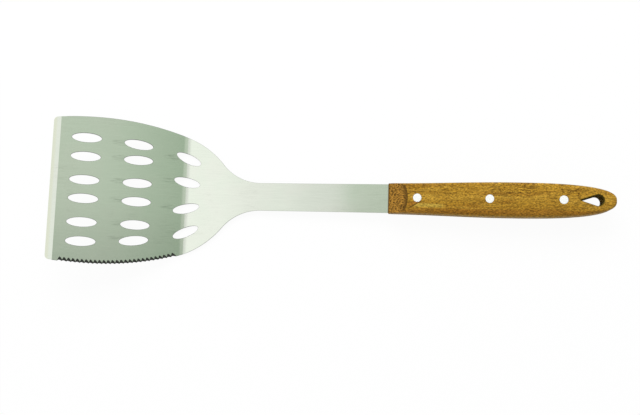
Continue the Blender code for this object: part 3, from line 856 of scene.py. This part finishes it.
def finishes():
    """The three materials, built once and shared by the operators."""
    scene = bpy.context.scene
    if not scene.get("turner_materials"):
        grain = grain_group()
        builders = (steel_material, wood_material, rivet_material)
        scene["turner_materials"] = [build(scene.turner_finish, grain).name for build in builders]
    return [bpy.data.materials[name] for name in scene["turner_materials"]]


# Pieces


def point_cloud(name, rows):
    """A mesh of loose points with a turn and a size on each."""
    places, turns, scales = zip(*rows)
    mesh = bpy.data.meshes.new(name)
    mesh.from_pydata(places, [], [])
    mesh.attributes.new("turn", "FLOAT", "POINT").data.foreach_set("value", turns)
    layer = mesh.attributes.new("size", "FLOAT_VECTOR", "POINT")
    layer.data.foreach_set("vector", [part for scale in scales for part in scale])
    return add_object(name, mesh)


def slot_rows(b, w, side):
    """Places, turns and sizes of the drain slots, fanned in towards the handle."""
    front = -b.length + w.behind_front + w.length / 2
    middle = (front + w.past_bend) / 2
    short = w.heel_length / w.length
    # Each slot has its share of the way out, its share of the side's turn, and how far it is ahead.
    columns = (
        (front, 1.0, ((0.18, 0.0, 0.0), (0.633, 0.0, 0.0), (1.0, 0.0, 0.0))),
        (middle, 1.0, ((0.188, 0.0, 0.0), (0.66, 0.0, 0.0), (0.98, 0.85, w.outer_ahead))),
        (w.past_bend, short, ((0.358, 0.55, w.inner_ahead), (1.0, 1.05, w.outer_ahead))),
    )
    rows = []
    for s, stretch, places in columns:
        edge, slope = side_at(side, s)
        for out, turn, ahead in places:
            for hand in (1, -1):
                y = hand * (edge - w.to_side) * out
                rows.append(((s - ahead, y, 0.0), hand * slope * turn, (stretch, 1.0, 1.0)))
    return rows


def gullet_rows(b, t, side):
    """Places and turns of the gullets, along the side at negative y."""
    first = -b.length + t.behind_front
    rows = []
    for i in range(int((-t.ahead_of_bend - first) / t.pitch)):
        s = first + i * t.pitch
        slope = side_at(side, s + t.pitch / 2)[1]
        rows.append(((s, -side_at(side, s)[0], 0.0), -slope, (1.0, 1.0, 1.0)))
    return rows


def gullet_mesh(b, t, rise=1.7, fall=1.5, past=0.08):
    """The grinder of one gullet: x along the side, y inwards, its root nearer to the front."""
    # The depth rises steeply to the root and falls slowly behind it. Both ends run out of the sheet.
    steps = [-0.12, 0.0, 0.35, 0.7, 1.0]
    shape = [(u * t.root, 1 - (1 - u) ** rise if u > 0 else rise * u) for u in steps]
    for i in range(1, 8):
        u = i / 7
        shape.append((t.root + u * (1 - t.root), 1 - u**fall))
    shape.append((1 + past, -fall * past / (1 - t.root)))
    rings = []
    for along, depth in shape:
        low = t.inset + t.notch * depth
        high = t.inset + t.tip_slope + (t.reach - t.tip_slope) * depth
        middle = (low + high) / 2
        outside = -2 * t.reach
        corners = (
            (middle + (high - low), b.thickness),
            (outside, b.thickness),
            (outside, -b.thickness),
            (middle - (high - low), -b.thickness),
        )
        rings.append([(along * t.pitch, y, z) for y, z in corners])
    return rings_mesh(rings, "gullet_grinder")


def blank_cutters(b, h, r, reach=5 * MM):
    """The front edge's grinder, the tang's rivet bores and its hanging hole, as one object."""
    foot = (b.bevel - b.length, 0.0, b.thickness / 2)
    lean = -math.atan2(b.thickness - b.edge, b.bevel)
    stone = (24 * MM, 3 * b.half_width, 10 * MM)
    meshes = [slant_mesh(foot, lean, 1, stone, "front_grinder")]
    bore = ((r.stem + r.seat, -reach), (r.stem + r.seat, reach))
    meshes += [turned_mesh(bore, s, r.sides, "bore") for s in rivet_places(b, h, r)]
    meshes.append(plate_mesh(teardrop(b, h, h.hole_growth), reach, 0, "hole"))
    bm = bmesh.new()
    for mesh in meshes:
        bm.from_mesh(mesh)
    return add_object("blank_cutters", new_mesh("blank_cutters", bm))


def split_at_folds(b, mesh, margin=1.5 * MM):
    """Split the blank's faces across the bend, so that it folds evenly."""
    half = b.bend_radius * b.bend / 2
    lines = [half * (2 * i / b.bend_facets - 1) for i in range(b.bend_facets + 1)]
    bm = bmesh.new()
    bm.from_mesh(mesh)
    bmesh.ops.triangulate(bm, faces=bm.faces)
    for s in (-half - margin, *lines, half + margin):
        whole = [*bm.verts, *bm.edges, *bm.faces]
        bmesh.ops.bisect_plane(bm, geom=whole, dist=TINY, plane_co=(s, 0, 0), plane_no=(1, 0, 0))
    bmesh.ops.triangulate(bm, faces=bm.faces)
    bmesh.ops.dissolve_degenerate(bm, dist=TINY, edges=bm.edges)
    bm.to_mesh(mesh)
    bm.free()


def make_blade(b, w, t, h, r, steel):
    """The blank: cut and ground, marked for its material, and then folded."""
    side = blade_side(b)
    tang = [p - h.tang_inset * n for p, n in zip(*handle_side(b, h))]
    flare = h.front_half - h.tang_inset - b.neck_half
    start = side[-1].x
    parts = [i / 24 for i in range(1, 24)]
    shank = [Vector((start + p * (b.shank - start), b.neck_half + flare * p**2)) for p in parts]
    half = b.thickness / 2
    outline = closed([*side, *shank, *tang])
    blade = add_object("steel_blade_and_tang", plate_mesh(outline, half, b.rim, "blank"))
    helpers = {
        "Slot places": point_cloud("slot_places", slot_rows(b, w, side)),
        "Gullet places": point_cloud("gullet_places", gullet_rows(b, t, side)),
        "Gullet grinder": add_object("gullet_grinder", gullet_mesh(b, t)),
        "Plain cutters": blank_cutters(b, h, r),
    }
    values = {
        "Slot length": w.length,
        "Slot width": w.width,
        "Slot sides": w.sides,
        "Sheet thickness": b.thickness,
        "Rim chamfer": b.rim,
        "Metal": steel,
    }
    add_tree_modifier(blade, blade_tree(), {**values, **helpers})
    mesh = bake(blade, *helpers.values())
    split_at_folds(b, mesh)
    crest = b.bevel - b.length

    def ground(face):
        """Whether a face is one that the gullets' grinder has left."""
        at = face.center
        if not (crest < at.x < 0 and at.y < 0):
            return False
        inside = at.y + side_at(side, at.x)[0]
        return inside < t.inset + t.reach and 0.2 < face.normal.z < 0.98

    def wall(face):
        """How much painted shade an upright face gets: a slot's wall most, and the rim behind the bend
        least.
        """
        at = face.center
        if not crest + 3 * MM < at.x < b.shank or abs(face.normal.z) >= 0.9:
            return 0.0
        in_slot = at.x < w.length and abs(at.y) < side_at(side, at.x)[0] - w.width
        return 1.0 if in_slot else 0.8 if at.x < 0 else 0.4

    # The material paints the ground faces nearly black, a painted dark reflection, and the upright faces
    # dark, as painted shade.
    mark(mesh, "ground", "FACE", ground)
    mark(mesh, "wall", "FACE", wall)
    flat = [vertex.co.copy() for vertex in mesh.vertices]
    rest = rest_matrix(b, h)
    for vertex in mesh.vertices:
        vertex.co = rest @ fold(b, vertex.co)

    def on_crest(edge):
        ends = (flat[i] for i in edge.vertices)
        return all(abs(p.x - crest) < 5 * TINY and abs(p.z - half) < 5 * TINY for p in ends)

    shade(mesh, 30.0, on_crest)
    return blade


def scale_section(b, h, point, normal, rounds=10, across=22):
    """A section of a scale through one point of its side, from edge to crown to edge."""

    def crown(y):
        return h.half_thickness - y**2 / (2 * h.crown)

    section = [Vector((point.x, max(point.y, 0.0), b.thickness / 2 + h.seam))]
    for inset, drop in quarter_round(h.edge, rounds):
        place = point - inset * normal
        y = max(place.y, 0.0)
        section.append(Vector((place.x, y, crown(y) - drop)))
    last = section[-1]
    levels = (last.y * (1 - 2 * i / across) for i in range(1, across))
    middle = [Vector((last.x, y, crown(y))) for y in levels]
    return [*section, *middle, *(Vector((p.x, -p.y, p.z)) for p in reversed(section))]


def scale_solid(b, h, hand, name):
    """A scale lofted through its sections. The hand is 1 above the tang and -1 below it."""
    bm = bmesh.new()
    rows = []
    for point, normal in zip(*handle_side(b, h)):
        section = scale_section(b, h, point, normal)
        rows.append([bm.verts.new((p.x, p.y, hand * p.z)) for p in section])
    for row, onward in zip(rows, rows[1:]):
        for i in range(len(row) - 1):
            bm.faces.new((row[i], row[i + 1], onward[i + 1], onward[i]))
    bm.faces.new(rows[0])
    bm.faces.new([row[0] for row in rows] + [row[-1] for row in reversed(rows)])
    bmesh.ops.remove_doubles(bm, verts=bm.verts, dist=TINY)
    bmesh.ops.recalc_face_normals(bm, faces=bm.faces)
    return add_object(name, new_mesh(name, bm))


def hole_cutter(b, h):
    """The hanging hole's punch, with rounded flares where it meets the scales' faces."""
    levels = [(h.half_thickness - drop, out) for out, drop in quarter_round(h.hole_rim, 5)]
    levels.append((h.half_thickness + 2 * MM, h.hole_rim + 1 * MM))
    outline = teardrop(b, h, 0.0)
    rings = []
    for z, out in [(-z, out) for z, out in reversed(levels)] + levels:
        ring = pulled_in(outline, -out) if out else outline
        rings.append([(p.x, p.y, z) for p in ring])
    return rings_mesh(rings, "hole_cutter")


def make_scale(b, h, r, hand, name, wood):
    """A scale: planed at its nose, bored for the rivets and the hanging hole, and marked."""
    scale = scale_solid(b, h, hand, name)
    foot = b.thickness / 2 + TANG_GAP + h.lip
    slope = math.atan2(h.half_thickness - foot, h.nose)
    plane = (52 * MM, 48 * MM, 30 * MM)
    meshes = [slant_mesh((b.shank, 0.0, hand * foot), -hand * slope, hand, plane, "nose_plane")]
    head = r.radius + r.seat
    stem = r.stem + r.seat
    seat = h.half_thickness - r.head - r.seat
    far = 2 * h.half_thickness
    profile = ((stem, -far), (stem, seat), (head, seat), (head, far))
    if hand < 0:
        profile = [(radius, -z) for radius, z in reversed(profile)]
    places = rivet_places(b, h, r)
    meshes += [turned_mesh(profile, s, r.sides, "rivet_seat") for s in places]
    tools = [add_object(mesh.name, mesh) for mesh in (*meshes, hole_cutter(b, h))]
    for tool in tools:
        modifier = scale.modifiers.new(tool.name, "BOOLEAN")
        modifier.operation = "DIFFERENCE"
        modifier.solver = "EXACT"
        modifier.object = tool
    mesh = bake(scale, *tools)
    mesh.materials.clear()
    mesh.materials.append(wood)
    facing = Vector((-math.sin(slope), 0.0, hand * math.cos(slope)))
    round_end, point = hole_places(b, h)
    grown = h.hole_radius + h.hole_rim

    def cut_across(face):
        """Whether a face lies on the nose slope or on the handle's front."""
        return face.normal.dot(facing) > 0.9995 or -face.normal.x > 0.9995

    def bored(face):
        """Whether a face is a wall of a rivet seat or of the hanging hole."""
        at = face.center
        seated = any(math.hypot(at.x - s, at.y) < head + TINY for s in places)
        holed = point - h.hole_rim < at.x < round_end + grown and abs(at.y) < grown
        return abs(face.normal.z) < 0.8 and (seated or holed)

    mask = mark(mesh, "end_grain", "FACE", cut_across)
    mark(mesh, "bore", "FACE", bored)
    mark(mesh, "height", "POINT", lambda vertex: abs(vertex.co.z))
    sides = {}
    for face in mesh.polygons:
        for key in face.edge_keys:
            sides.setdefault(key, set()).add(mask[face.index])
    shade(mesh, 32.0, lambda edge: len(sides[edge.key]) > 1)
    mesh.transform(rest_matrix(b, h))
    return scale


def make_rivets(b, h, r, metal):
    rivets = add_object("rivets", bpy.data.meshes.new("rivet_places"))
    rivets.data.from_pydata([(s, 0.0, 0.0) for s in rivet_places(b, h, r)], [], [])
    values = {
        "Head radius": r.radius,
        "Head thickness": r.head,
        "Dome": r.dome,
        "Stem radius": r.stem,
        "Half length": h.half_thickness,
        "Sides": r.sides,
        "Metal": metal,
    }
    add_tree_modifier(rivets, rivet_tree(), values)
    mesh = bake(rivets)
    shade(mesh, 40.0)
    mesh.transform(rest_matrix(b, h))
    return rivets


# Stage


def area_lamp(name, place, target, width, depth, power):
    lamp = bpy.data.lights.new(name, "AREA")
    lamp.shape = "RECTANGLE"
    lamp.size = width
    lamp.size_y = depth
    lamp.energy = power
    obj = add_object(name, lamp)
    obj.location = place
    obj.rotation_euler = (Vector(target) - Vector(place)).to_track_quat("-Z", "Y").to_euler()
    return obj


def flat_sheet(name, low, high, height):
    """A level sheet between two corners, for the floor or the card."""
    corners = [(x, y, height) for x, y in (low, (high[0], low[1]), high, (low[0], high[1]))]
    mesh = bpy.data.meshes.new(name)
    mesh.from_pydata(corners, [], [range(4)])
    material = bpy.data.materials.new(name)
    material.use_nodes = True
    mesh.materials.append(material)
    return add_object(name, mesh), material.node_tree


def make_card(studio):
    """A card overhead that only reflections show, shaded along X, and darker at low Y."""
    card, tree = flat_sheet("overhead_card", low=(-0.071, -0.5), high=(1.0, 0.8), height=0.6)
    tree.nodes.clear()
    x, y, z = split(put(tree, "ShaderNodeTexCoord", {}, "Object"))
    tone = blend(spread(x, 0.04, 0.26), tuple(studio.near), tuple(studio.far))
    tone = blend(1.0, tone, spread(y, -0.06, 0.1, 0.74, 1.0), "MULTIPLY")
    glow = put(tree, "ShaderNodeEmission", {"Color": tone, "Strength": 1.0})
    plug(tree.nodes.new("ShaderNodeOutputMaterial"), {"Surface": glow})
    for rays in ("camera", "diffuse", "shadow", "transmission"):
        setattr(card, "visible_" + rays, False)


def seen_directly(tree):
    """One for the camera's rays and for those that metal and glass send on."""
    path = tree.nodes.new("ShaderNodeLightPath").outputs
    camera, glossy, clear = (Value(path[f"Is {ray} Ray"]) for ray in ("Camera", "Glossy", "Transmission"))
    return calc("MAXIMUM", camera, calc("MAXIMUM", glossy, clear))


def make_floor(studio, reach=12.0, clearance=0.0003):
    """A matt floor just below the turner, which the camera sees as nearly plain white."""
    floor, tree = flat_sheet("floor", low=(-reach, -reach), high=(reach, reach), height=-clearance)
    shader = tree.nodes["Principled BSDF"]
    plug(shader, {"Base Color": (0.95, 0.95, 0.95, 1.0), "Roughness": 1.0, "Specular IOR Level": 0.0})
    glow = put(tree, "ShaderNodeEmission", {"Strength": 1.0})
    inputs = {0: seen_directly(tree) * studio.white, 1: Value(shader.outputs[0]), 2: glow}
    plug(tree.nodes["Material Output"], {"Surface": put(tree, "ShaderNodeMixShader", inputs)})


def make_world(studio):
    """Even light from all around, which the camera sees as plain white."""
    world = bpy.data.worlds.new("studio")
    world.use_nodes = True
    tree = world.node_tree
    tree.nodes.clear()
    strength = scaled(seen_directly(tree), studio.world, 1.0)
    inputs = {"Color": (1.0, 1.0, 1.0, 1.0), "Strength": strength}
    plug(tree.nodes.new("ShaderNodeOutputWorld"), {"Surface": put(tree, "ShaderNodeBackground", inputs)})
    bpy.context.scene.world = world


def make_camera(studio):
    """The camera, nearly straight above, as the photograph's perspective gives it."""
    data = bpy.data.cameras.new("camera")
    data.sensor_width = 36.0
    data.lens = studio.lens
    camera = add_object("camera", data)
    camera.location = (0.0358040, -0.0740106, 0.5633217)
    camera.rotation_euler = Euler([math.radians(a) for a in (6.96915, 4.23974, 1.74032)])
    bpy.context.scene.camera = camera


# Operators


class TURNER_OT_blade(bpy.types.Operator):
    """Build the slotted, serrated and bent steel blade with its tang"""

    bl_idname = "turner.blade"
    bl_label = "Blade and tang"

    def execute(self, context):
        steel = finishes()[0]
        blade = make_blade(*sizes(), steel)
        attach(blade, "root")
        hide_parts("blade_and_tang")
        return {"FINISHED"}


class TURNER_OT_scales(bpy.types.Operator):
    """Build the two wooden scales of the handle"""

    bl_idname = "turner.scales"
    bl_label = "Handle scales"

    def execute(self, context):
        wood = finishes()[1]
        b, w, t, h, r = sizes()
        for node, hand in (("upper_handle_scale", 1), ("lower_handle_scale", -1)):
            scale = make_scale(b, h, r, hand, node.replace("handle_scale", "wooden_scale"), wood)
            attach(scale, "root")
            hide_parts(node)
        return {"FINISHED"}


class TURNER_OT_rivets(bpy.types.Operator):
    """Set the three rivets through the handle"""

    bl_idname = "turner.rivets"
    bl_label = "Rivets"

    def execute(self, context):
        metal = finishes()[2]
        b, w, t, h, r = sizes()
        rivets = make_rivets(b, h, r, metal)
        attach(rivets, "root")
        places = ("front", "middle", "rear")
        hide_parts(*(f"{place}_rivet_{kind}" for place in places for kind in ("pin", "sleeve")))
        return {"FINISHED"}


class TURNER_OT_stage(bpy.types.Operator):
    """Build the floor, the world, the lamps, the reflection card and the camera"""

    bl_idname = "turner.stage"
    bl_label = "Stage"

    def execute(self, context):
        context.scene.view_settings.view_transform = "Standard"
        studio = context.scene.turner_studio
        make_floor(studio)
        make_world(studio)
        make_camera(studio)
        key = area_lamp("key", (-0.2, 1.05, 1.05), (0, 0, 0), width=1.2, depth=0.9, power=studio.key)
        key.visible_glossy = False
        for x, z in ((-0.91, 1.2), (-0.78, 1.25)):
            place, foot = (x, 0.15, z), (x, 0.15, 0)
            area_lamp("softbox", place, foot, width=1.02, depth=1.6, power=studio.softbox)
        make_card(studio)
        return {"FINISHED"}


class TURNER_PT_panel(bpy.types.Panel):
    """Lists the turner's pieces and its stage"""

    bl_label = "Slotted turner"
    bl_idname = "TURNER_PT_panel"
    bl_space_type = "VIEW_3D"
    bl_region_type = "UI"
    bl_category = "Turner"

    def draw(self, context):
        for operator in OPERATORS:
            self.layout.operator(operator.bl_idname)


OPERATORS = (TURNER_OT_blade, TURNER_OT_scales, TURNER_OT_rivets, TURNER_OT_stage)
CLASSES = (*GROUPS.values(), *OPERATORS, TURNER_PT_panel)


def register():
    for cls in CLASSES:
        bpy.utils.register_class(cls)
    for name, group in GROUPS.items():
        setattr(bpy.types.Scene, name, PointerProperty(type=group))


def unregister():
    for name in GROUPS:
        delattr(bpy.types.Scene, name)
    for cls in reversed(CLASSES):
        bpy.utils.unregister_class(cls)


def main():
    register()
    bpy.ops.turner.blade()
    bpy.ops.turner.scales()
    bpy.ops.turner.rivets()
    bpy.ops.turner.stage()


if __name__ == "__main__":
    main()
